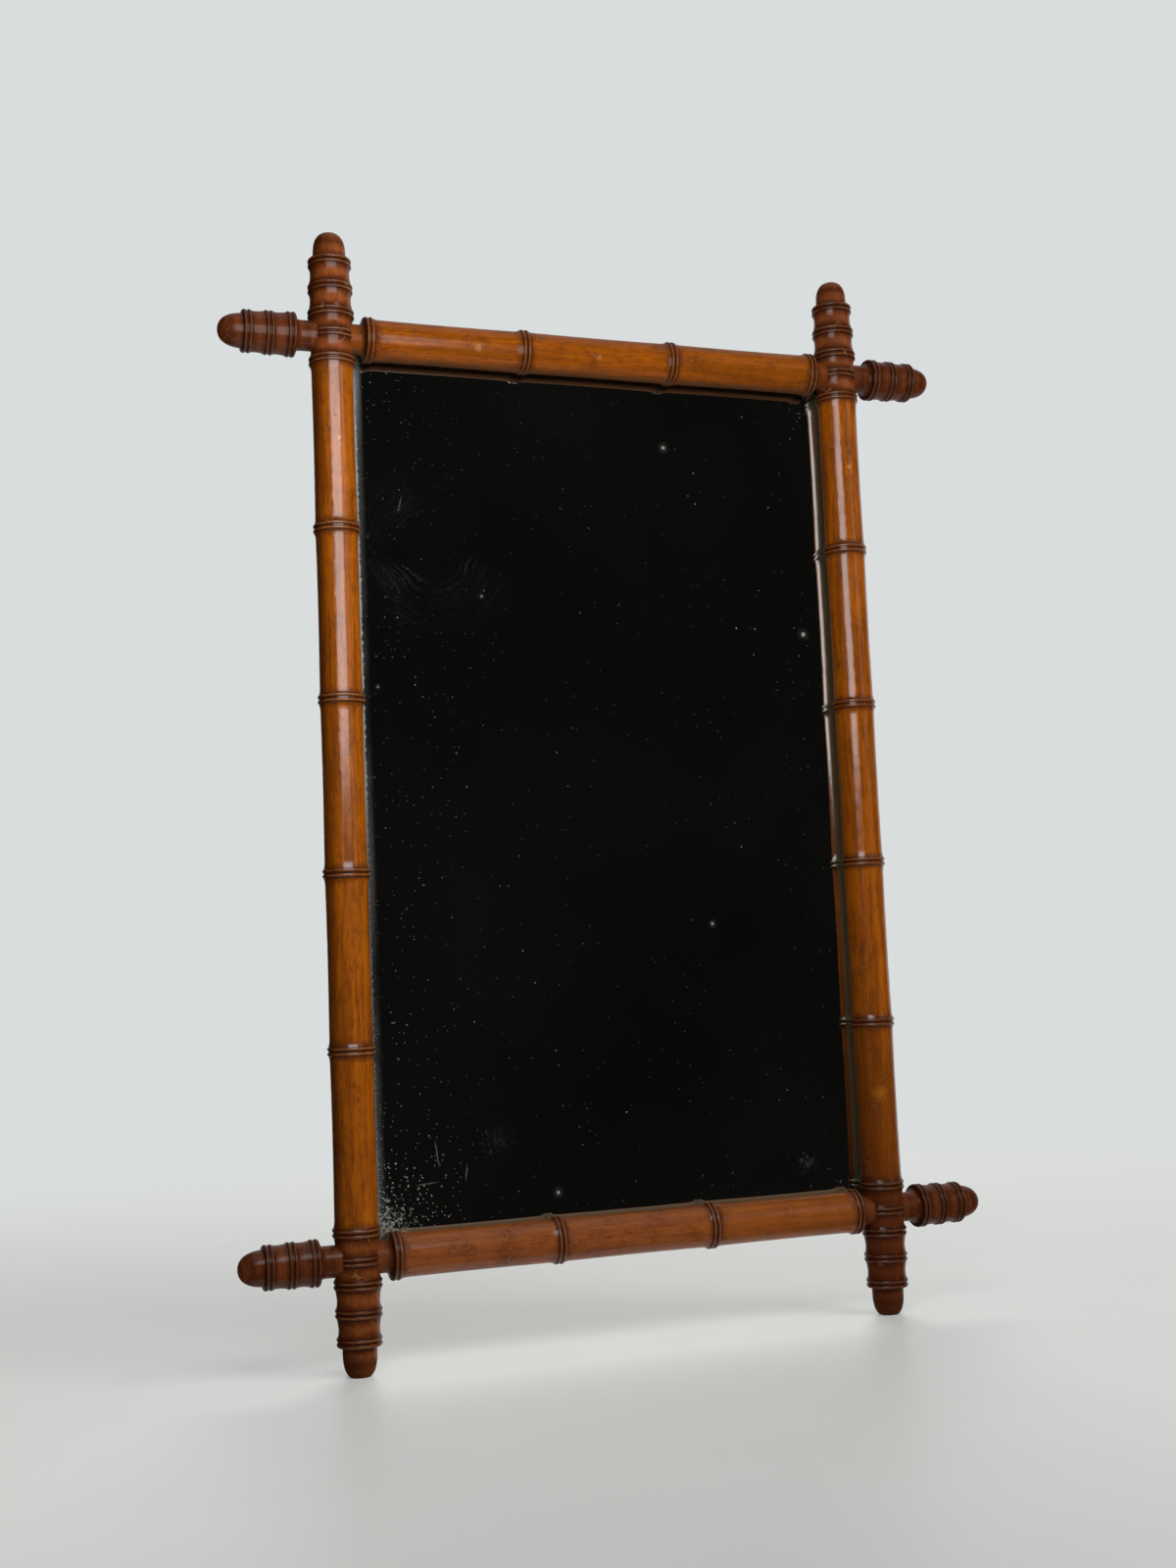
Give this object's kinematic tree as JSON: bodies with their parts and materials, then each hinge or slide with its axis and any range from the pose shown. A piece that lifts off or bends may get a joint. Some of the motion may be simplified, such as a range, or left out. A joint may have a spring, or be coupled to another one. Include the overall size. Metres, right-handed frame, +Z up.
{
  "type": "faux bamboo wall mirror",
  "caption": "Upright wall mirror in a frame of round wooden uprights and rails turned to look like bamboo, with crossing corners, rounded finials, a plank back and ring hangers.",
  "frame": {"origin": "middle of the plank back, on the plane of the wall that the mirror hangs on", "axes": "+Y out of the back into the wall, so the glass faces -Y; +Z up along the uprights; +X to the right of someone facing the glass"},
  "size_m": [0.705, 0.0438, 1],
  "materials": {
    "polished_wood": "stained and polished",
    "dark_polished_wood": "stained and polished",
    "silvered_glass": "aged silvering",
    "bare_pine": "bare and sawn",
    "iron": "dull",
    "brass": "aged"
  },
  "bodies": {
    "frame": {"left_stile": "polished_wood", "right_stile": "polished_wood", "top_rail": "polished_wood", "bottom_rail": "polished_wood", "top_left_finial": "dark_polished_wood", "top_right_finial": "dark_polished_wood", "bottom_left_finial": "dark_polished_wood", "bottom_right_finial": "dark_polished_wood", "mirror_glass": "silvered_glass", "glass_slips": "bare_pine", "left_backboard": "bare_pine", "middle_backboard": "bare_pine", "right_backboard": "bare_pine", "backboard_nails": "iron", "left_hanger_strap": "brass", "right_hanger_strap": "brass", "hanger_screws": "brass"},
    "left_ring": {"left_hanger_ring": "brass"},
    "right_ring": {"right_hanger_ring": "brass"}
  },
  "joints": [
    {"name": "left_ring_hinge", "type": "hinge", "parent": "frame", "child": "left_ring", "pos_m": [-0.25408, -0.0047, 0.3087], "axis": [1, 0, 0], "range_deg": [0, 180]},
    {"name": "right_ring_hinge", "type": "hinge", "parent": "frame", "child": "right_ring", "pos_m": [0.25408, -0.0047, 0.3087], "axis": [1, 0, 0], "range_deg": [0, 180]}
  ]
}
